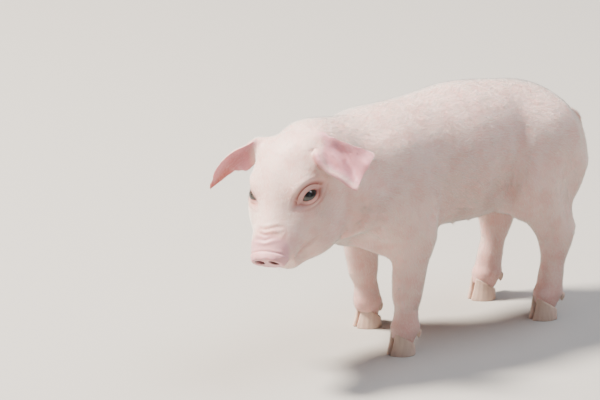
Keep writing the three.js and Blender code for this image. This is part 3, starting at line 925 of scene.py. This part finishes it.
# %% Colour group
def pig_colour(tree, base, blotch, blush_colour, ear_colour, fold_pink_shade_and_glow, disc_colour, deep_shade_colour):
    """Mixes this material's colours by the masks and returns the socket that holds the result."""
    place = add(tree, "ShaderNodeTexCoord", {}, {}).outputs["Object"]
    blotches = add(tree, "ShaderNodeTexNoise", {}, {"Vector": place, "Scale": 1 / 0.014, "Detail": 3.0})
    softened = add(tree, "ShaderNodeMapRange", {"interpolation_type": "SMOOTHSTEP"}, {
        "Value": blotches.outputs["Fac"], "From Min": 0.42, "From Max": 0.68})
    colour = add(tree, "ShaderNodeMix", {"data_type": "RGBA"}, {
        0: softened.outputs[0], 6: srgb(base), 7: srgb(blotch)}).outputs[2]
    # The fold and deep-shade masks lay painted shade and painted glow over the colour as well.
    for mask, over in (("blush", blush_colour), ("ear", ear_colour), ("fold", fold_pink_shade_and_glow),
                       ("bare", disc_colour), ("deep_shade", deep_shade_colour)):
        amount = add(tree, "ShaderNodeAttribute", {"attribute_name": mask}, {}).outputs["Fac"]
        colour = add(tree, "ShaderNodeMix", {"data_type": "RGBA"}, {
            0: amount, 6: colour, 7: srgb(over)}).outputs[2]
    return colour


# %% [markdown]
# Piglet skin is living leather: light goes in, turns red in the blood and comes out a few
# millimetres away, which is subsurface scattering. The grain of the skin and its finest wrinkles
# are bumps. A real cell of the grain is finer than the 1.2 mm here, which is as coarse as it needs
# to be to show.

# %% Skin material
# The fifth colour is the folds' pink with their painted shade and glow, the last the painted deep shade.
skin_colours = ("#e6c3ba", "#e0b3aa", "#d19692", "#cf939f", "#ab524a", "#d8a3a7", "#4a211e")
piglet_skin = new_material("piglet skin")
tree = piglet_skin.node_tree
place = add(tree, "ShaderNodeTexCoord", {}, {}).outputs["Object"]
grain = add(tree, "ShaderNodeTexVoronoi", {"feature": "SMOOTH_F1"}, {"Vector": place, "Scale": 1 / 0.0012})
wrinkle = add(tree, "ShaderNodeTexNoise", {}, {"Vector": place, "Scale": 1 / 0.004, "Detail": 4.0})
height = add(tree, "ShaderNodeMath", {"operation": "MULTIPLY_ADD"}, {
    0: wrinkle.outputs["Fac"], 1: 0.6, 2: grain.outputs["Distance"]})
bump = add(tree, "ShaderNodeBump", {}, {"Strength": 0.25, "Distance": 0.0004, "Height": height.outputs[0]})
surface = add(tree, "ShaderNodeBsdfPrincipled", {"subsurface_method": "RANDOM_WALK"}, {
    "Base Color": pig_colour(tree, *skin_colours),
    "Roughness": 0.5,
    "Subsurface Weight": 0.35,
    "Subsurface Radius": (1.0, 0.35, 0.2),
    "Subsurface Scale": 0.003,
    "Sheen Weight": 0.15,
    "Sheen Roughness": 0.4,
    "Normal": bump.outputs[0],
})
add(tree, "ShaderNodeOutputMaterial", {}, {"Surface": surface.outputs[0]})
print("skin nodes:", len(tree.nodes))
skin.data.materials.clear()
skin.data.materials.append(piglet_skin)
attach(skin, "root")
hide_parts(*flesh_names)

# %% [markdown]
# ## The eyes
#
# An eyeball is a ball with a smaller, steeper one in front of it, the clear cornea. Here both are
# one closed surface: a UV sphere whose pole faces out of the opening, with the rings around the pole
# pushed forward. Iris, pupil and the dark ring around the iris follow the angle from the pole,
# kept at each point. A piglet's iris fills nearly the whole opening.

# %% Eyes
bulge = 0.9 * mm
cornea_angle = math.radians(48)


def make_eye(name, side):
    facing, long, high = eye_directions(side)
    ball = bmesh.new()
    bmesh.ops.create_uvsphere(ball, u_segments=64, v_segments=48, radius=ball_radius * mm)
    angles = []
    turn = Matrix(np.array([long, high, facing]).T @ np.diag([side, 1, 1])).to_4x4()
    for vertex in ball.verts:
        angle = math.acos(max(-1, min(1, vertex.co.z / vertex.co.length)))
        angles.append(angle)
        if angle < cornea_angle:
            swelling = (math.cos(angle / cornea_angle * math.pi) + 1) / 2
            vertex.co *= 1 + bulge / (ball_radius * mm) * swelling
    to_head = Matrix(head_axes.T).to_4x4()
    middle = Vector(eye_middle_point + ball_centre(side) @ head_axes * mm)
    bmesh.ops.transform(ball, matrix=Matrix.Translation(middle) @ to_head @ turn, verts=ball.verts)
    bmesh.ops.recalc_face_normals(ball, faces=ball.faces)
    eye = new_object(name, bpy.data.meshes.new(name))
    ball.to_mesh(eye.data)
    ball.free()
    eye.data.shade_smooth()
    keep_at_points(eye.data, "angle", np.degrees(angles))
    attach(eye, "root")
    return eye


# %% [markdown]
# The wet front of the eye is a clear coat over the colours, as glossy as a lens, which gives the
# small bright reflections of the lamps.

# %% Eye material
wet_eye = new_material("wet eye")
tree = wet_eye.node_tree
angle = add(tree, "ShaderNodeAttribute", {"attribute_name": "angle"}, {}).outputs["Fac"]
share = add(tree, "ShaderNodeMath", {"operation": "DIVIDE"}, {0: angle, 1: 90.0})
ramp = add(tree, "ShaderNodeValToRGB", {}, {"Fac": share.outputs[0]})
stops = ((0.0, "#050404"), (0.28, "#060505"), (0.36, "#1f1e19"), (0.52, "#33312a"), (0.62, "#141210"),
         (0.75, "#4a403c"), (0.90, "#9c8b83"))
while len(ramp.color_ramp.elements) < len(stops):
    ramp.color_ramp.elements.new(0.5)
for element, (position, colour) in zip(ramp.color_ramp.elements, stops):
    element.position = position
    element.color = srgb(colour)
place = add(tree, "ShaderNodeTexCoord", {}, {}).outputs["Object"]
fibres = add(tree, "ShaderNodeTexNoise", {}, {"Vector": place, "Scale": 1 / 0.0012, "Detail": 4.0})
veined = add(tree, "ShaderNodeMix", {"data_type": "RGBA", "blend_type": "SOFT_LIGHT"}, {
    0: 0.7, 6: ramp.outputs["Color"], 7: fibres.outputs["Color"]})
surface = add(tree, "ShaderNodeBsdfPrincipled", {}, {
    "Base Color": veined.outputs[2],
    "Roughness": 0.35,
    "Coat Weight": 1.0,
    "Coat Roughness": 0.03,
    "Coat IOR": 1.4,
})
add(tree, "ShaderNodeOutputMaterial", {}, {"Surface": surface.outputs[0]})
for name, side in (("left_eye", 1), ("right_eye", -1)):
    eye = make_eye(name + "ball", side)
    eye.data.materials.append(wet_eye)
    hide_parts(name)
print("eyes made")

# %% [markdown]
# ## Claws
#
# Each foot stands on two horn claws, with two small dewclaws behind. Their solids already have the
# right size, so each is copied and its facets are melted by a fine Remesh and a smoothing. The tops
# of the claws are drawn in and up, so that they grow out of the cuff of skin, the soles stay flat,
# and the dewclaws narrow towards the ground.

# %% Claws
claw_voxel = 0.9 * mm


def make_claws(foot):
    horn = bmesh.new()
    names = [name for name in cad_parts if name.startswith(foot) and "claw" in name]
    foot_middle = sole_places[foot] * mm
    for name in names:
        claw = merged_copy(name)
        remesh(claw, claw_voxel)
        smooth = claw.modifiers.new("smooth", "LAPLACIANSMOOTH")
        smooth.iterations = 12
        smooth.lambda_factor = 0.3
        apply_modifiers(claw)
        low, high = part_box(name)
        middle = (low + high) / 2
        is_dewclaw = "dew" in name
        for vertex in claw.data.vertices:
            share = (vertex.co.z - low.z) / (high.z - low.z)
            ahead = max(0, (middle.y - vertex.co.y) / (middle.y - low.y))
            narrowing = 0.5 + 0.5 * share if is_dewclaw else 1 - 0.12 * share ** 2
            vertex.co.x = middle.x + (vertex.co.x - middle.x) * narrowing
            vertex.co.y = middle.y + (vertex.co.y - middle.y) * narrowing
            if is_dewclaw:
                vertex.co.z -= 2.0 * mm * (1 - share)
            else:
                vertex.co.x += (foot_middle.x - vertex.co.x) * 0.28 * ahead ** 2
                vertex.co.z = max(0.0, vertex.co.z - 0.3 * mm) + 14 * mm * max(0, share - 0.6)
        horn.from_mesh(claw.data)
        bpy.data.objects.remove(claw)
    claws = new_object(foot + "_claws", bpy.data.meshes.new(foot + "_claws"))
    horn.to_mesh(claws.data)
    horn.free()
    claws.data.shade_smooth()
    claws.data.materials.append(claw_horn)
    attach(claws, "root")
    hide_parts(*names)
    print(foot, "claws:", len(names), "faces:", len(claws.data.polygons))


# %% [markdown]
# Horn is a dense, slightly see-through material that grows down from the skin in faint rings. Young
# white pigs have pale amber horn with faint brown stains that run down it.

# %% Horn material
claw_horn = new_material("pale claw horn")
tree = claw_horn.node_tree
place = add(tree, "ShaderNodeTexCoord", {}, {}).outputs["Object"]
rings = add(tree, "ShaderNodeTexWave", {"wave_type": "BANDS", "bands_direction": "Z"}, {
    "Vector": place, "Scale": 1 / 0.012, "Distortion": 3.0, "Detail": 2.0})
streaks = add(tree, "ShaderNodeMapping", {}, {"Vector": place, "Scale": (1, 1, 0.15)})
stain = add(tree, "ShaderNodeTexNoise", {}, {
    "Vector": streaks.outputs[0], "Scale": 1 / 0.003, "Detail": 4.0})
colour = add(tree, "ShaderNodeMix", {"data_type": "RGBA"}, {
    0: stain.outputs["Fac"], 6: srgb("#dcc6b4"), 7: srgb("#b8968a")})
bump = add(tree, "ShaderNodeBump", {}, {
    "Strength": 0.2, "Distance": 0.0002, "Height": rings.outputs["Fac"]})
surface = add(tree, "ShaderNodeBsdfPrincipled", {}, {
    "Base Color": colour.outputs[2],
    "Roughness": 0.42,
    "Subsurface Weight": 0.2,
    "Subsurface Scale": 0.002,
    "Normal": bump.outputs[0],
})
add(tree, "ShaderNodeOutputMaterial", {}, {"Surface": surface.outputs[0]})
for foot in sole_places:
    make_claws(foot)

# %% [markdown]
# ## The coat
#
# A piglet's hair is short, fine and nearly white, and it lies flat. Most of it only tints the skin,
# but at every outline it stands as a pale fuzz. Particle hair would be the usual way to make it, but
# it has no mesh, so the hairs here are slim closed spikes, joined in a few large meshes. They are
# worked out as arrays, because one operator call for each of a quarter of a million hairs would be
# far too slow.
#
# Three arrays say what grows at each point of the skin: which way the hair lies, how long it is and
# how densely it grows. How steeply each hair stands is drawn at random further down.

# %% What grows where
def toward(direction):
    return np.tile(np.array(direction, float), (len(points), 1))


def blend(values, others, amount):
    return values + (others - values) * amount[:, None]


place_in_head = in_head(points)
on_head_part = spread(region("head", "jaw", "snout"), 12)
on_legs = spread(region("leg"), 8)
on_ear = spread(region("ear"), 2)
on_tail = spread(region("tail"), 2)
muzzle = smooth_step(-place_in_head[:, 1], 10, 50) * on_head_part

flow = toward((0, 1, -0.35))
flow = blend(flow, toward((0, 0.25, -1)), on_legs)
flow = blend(flow, toward(head_back), on_head_part)
for name, side in (("left_ear", 1), ("right_ear", -1)):
    on_one = region(name)
    tip = points[np.argmax(on_one * points[:, 0] * side)]
    outward = tip - points
    outward /= np.linalg.norm(outward, axis=1)[:, None] + 1e-9
    flow = blend(flow, outward, spread(on_one, 2))
flow = blend(flow, toward((0, 0.4, -1)), on_tail)
flow = blend(spread(flow, 60), flow, np.maximum(on_ear, on_tail))

length = 6.0 - 2.3 * on_head_part - 1.2 * muzzle - 2.0 * on_legs - 2.2 * on_ear - 1.5 * on_tail
length = length * (1 - 0.4 * low_leg)
growth = (1 - np.clip(bare_disc + deep_shade + thin_haired * 1.2, 0, 1)) * (1 + on_ear - 1.6 * inside)
for name, values in (("length", length), ("growth", growth)):
    print(name, "from", round(float(values.min()), 2), "to", round(float(values.max()), 2))

# %% [markdown]
# Random points are drawn on each triangle, as many as its area and its growth ask. Everything that
# a hair needs is mixed there from the triangle's three corners.

# %% Growing the hairs
dice = np.random.default_rng(7)
hair_count = 240000
root_depth = 0.3 * mm
half_width_mm = 0.08
lie_scatter = 0.16
count_triangles()
corners = read_rows(skin.data.loop_triangles, "vertices", 3, np.int32)
loops = read_rows(skin.data.loop_triangles, "loops", 3, np.int32)
unwrap = read_rows(skin.data.uv_layers["OFBake"].uv, "vector", 2)

a, b, c = (points[corners[:, i]] for i in range(3))
area = np.linalg.norm(np.cross(b - a, c - a), axis=1) / 2
area *= growth[corners].mean(axis=1)
chosen = np.sort(dice.choice(len(corners), hair_count, p=area / area.sum()))
shares = dice.dirichlet((1, 1, 1), hair_count)


def at_roots(values):
    picked = values[corners[chosen]]
    weights = shares if values.ndim == 1 else shares[:, :, None]
    return (picked * weights).sum(axis=1)


def unit(vectors):
    return vectors / (np.linalg.norm(vectors, axis=1)[:, None] + 1e-12)


def spikes(roots, up, lie, lift, hair_length, half_width):
    """The four corners of each hair: three of its foot, sunk in the skin, and its tip."""
    lie = unit(lie - up * (lie * up).sum(axis=1)[:, None])
    aside = np.cross(up, lie)
    sunk = roots - up * root_depth
    tips = roots + (lie * np.cos(lift) + up * np.sin(lift)) * hair_length
    return np.stack([
        sunk + aside * half_width,
        sunk - aside * half_width,
        sunk + up * half_width * 1.6,
        tips,
    ], axis=1)


roots = at_roots(points)
up = unit(at_roots(normals))
lie = at_roots(flow) + dice.normal(0, lie_scatter, (hair_count, 3))
lift = np.radians(dice.uniform(6, 20, hair_count))[:, None]
hair_length = (at_roots(length) * dice.uniform(0.65, 1.15, hair_count) * mm)[:, None]
half_width = (half_width_mm * dice.uniform(0.7, 1.2, hair_count) * mm)[:, None]
hair_points = spikes(roots, up, lie, lift, hair_length, half_width)
root_uv = (unwrap[loops[chosen]] * shares[:, :, None]).sum(axis=1)
root_masks = {name: at_roots(values) for name, values in masks.items()}
print("hairs:", hair_count, "mean length mm:", round(float(hair_length.mean() / mm), 2))

# %% [markdown]
# The hair itself is a hollow, colourless fibre that looks white because it scatters the light, with
# a slight shine along it. It takes a breath of pink from the skin under it.

# %% Hair material
# The hair takes the painted shade and glow of the masks too, more faintly: the fifth and last colours.
hair_colours = ("#f7efe8", "#f4e7df", "#edd0ca", "#e0b7bb", "#d5a79f", "#e0b5b4", "#a06a62")
white_hair = new_material("fine white hair")
tree = white_hair.node_tree
surface = add(tree, "ShaderNodeBsdfPrincipled", {}, {
    "Base Color": pig_colour(tree, *hair_colours),
    "Roughness": 0.45,
    "Specular IOR Level": 0.4,
    "Sheen Weight": 0.2,
})
add(tree, "ShaderNodeOutputMaterial", {}, {"Surface": surface.outputs[0]})

# %% [markdown]
# Each spike has a three-cornered foot, sunk in the skin, and three long faces that meet in the tip.
# On the unwrap it is a patch 3 thousandths across, at its root, with the tip in the patch's middle.

# %% Joining the hairs
spike_faces = np.array([(0, 1, 2), (1, 0, 3), (2, 1, 3), (0, 2, 3)])
patch = 0.0015 * np.array([(0.87, -0.5), (-0.87, -0.5), (0, 1), (0, 0)])


def join_hairs(name, hair_points, root_uv, root_masks):
    count = len(hair_points)
    faces = (spike_faces[None] + 4 * np.arange(count)[:, None, None]).reshape(-1, 3)
    mesh = bpy.data.meshes.new(name)
    mesh.vertices.add(count * 4)
    mesh.vertices.foreach_set("co", hair_points.astype(np.float32).ravel())
    mesh.loops.add(faces.size)
    mesh.loops.foreach_set("vertex_index", faces.astype(np.int32).ravel())
    mesh.polygons.add(len(faces))
    mesh.polygons.foreach_set("loop_start", np.arange(0, faces.size, 3, dtype=np.int32))
    mesh.update(calc_edges=True)
    uv = mesh.uv_layers.new(name="OFBake")
    corner_uv = (root_uv[:, None, :] + patch[None]).reshape(-1, 2)[faces.ravel()]
    uv.uv.foreach_set("vector", corner_uv.astype(np.float32).ravel())
    for mask, values in root_masks.items():
        keep_at_points(mesh, mask, np.repeat(values, 4))
    mesh.shade_smooth()
    piece = new_object(name, mesh)
    mesh.materials.append(white_hair)
    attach(piece, "root")


pieces = 6
for index, picked in enumerate(np.array_split(np.arange(hair_count), pieces)):
    join_hairs("coat_" + str(index + 1), hair_points[picked], root_uv[picked],
               {name: values[picked] for name, values in root_masks.items()})
print("coat pieces:", pieces, "triangles in each:", hair_count // pieces * len(spike_faces))

# %% [markdown]
# ## Lashes and whiskers
#
# Pale lashes hang over each eye from the edge of the upper lid, and a few stiff whiskers stand out
# around the mouth. They are the same spikes, longer and thicker, each on its own landmark.

# %% Lashes and whiskers
corner_uv_of = np.zeros((len(points), 2), np.float32)
corner_uv_of[corners.ravel()] = unwrap[loops.ravel()]
lash_roots, lash_up, lash_lie = [], [], []
lashes_per_lid = 46
upper_radius = arc_radius(upper_arc)
for side in (1, -1):
    facing, long, high = eye_directions(side)
    for share in np.linspace(-0.75, 0.85, lashes_per_lid):
        u = share * opening_half_length + dice.normal(0, 0.1)
        v = math.sqrt(upper_radius ** 2 - u * u) - upper_radius + upper_arc + 0.5
        reach = math.hypot(u, v)
        turn = reach / ball_radius
        out = facing * math.cos(turn) + (long * u + high * v) / reach * math.sin(turn)
        on_film = ball_centre(side) + out * (ball_radius + film)
        lash_roots.append(eye_middle_point + on_film @ head_axes * mm)
        lash_up.append(out @ head_axes)
        outward = long * (share * 0.9 + dice.normal(0, 0.1))
        lash_lie.append((outward - high * 0.8 + facing * 0.3) @ head_axes)
lash_count = len(lash_roots)
on_lips = (-place_in_head[:, 1] > 40) & (-place_in_head[:, 1] < 60) & (place_in_head[:, 2] < -14)
on_lips &= growth > 0.6
whisker_count = 90
for index in dice.choice(np.nonzero(on_lips)[0], whisker_count, replace=False):
    lash_roots.append(points[index])
    lash_up.append(normals[index])
    lash_lie.append(np.array(head_back) - np.array(head_up) * 0.4 + dice.normal(0, 0.2, 3))
lash_roots, lash_up, lash_lie = (np.array(rows) for rows in (lash_roots, lash_up, lash_lie))
all_count = lash_count + whisker_count
is_lash = (np.arange(all_count) < lash_count)[:, None]


def lash_or_whisker(lash_range, whisker_range):
    lash_draw = dice.uniform(*lash_range, (all_count, 1))
    whisker_draw = dice.uniform(*whisker_range, (all_count, 1))
    return np.where(is_lash, lash_draw, whisker_draw)


lash_lift = np.radians(lash_or_whisker((30, 42), (35, 60)))
lash_length = lash_or_whisker((4.0, 5.8), (5, 9)) * mm
nearest = [int(np.argmin(np.linalg.norm(points - root, axis=1))) for root in lash_roots]
join_hairs("lashes_and_whiskers",
           spikes(lash_roots, lash_up, lash_lie, lash_lift, lash_length, 0.09 * mm),
           corner_uv_of[nearest], {name: values[nearest] for name, values in masks.items()})
print("lashes:", lash_count, "whiskers:", whisker_count)
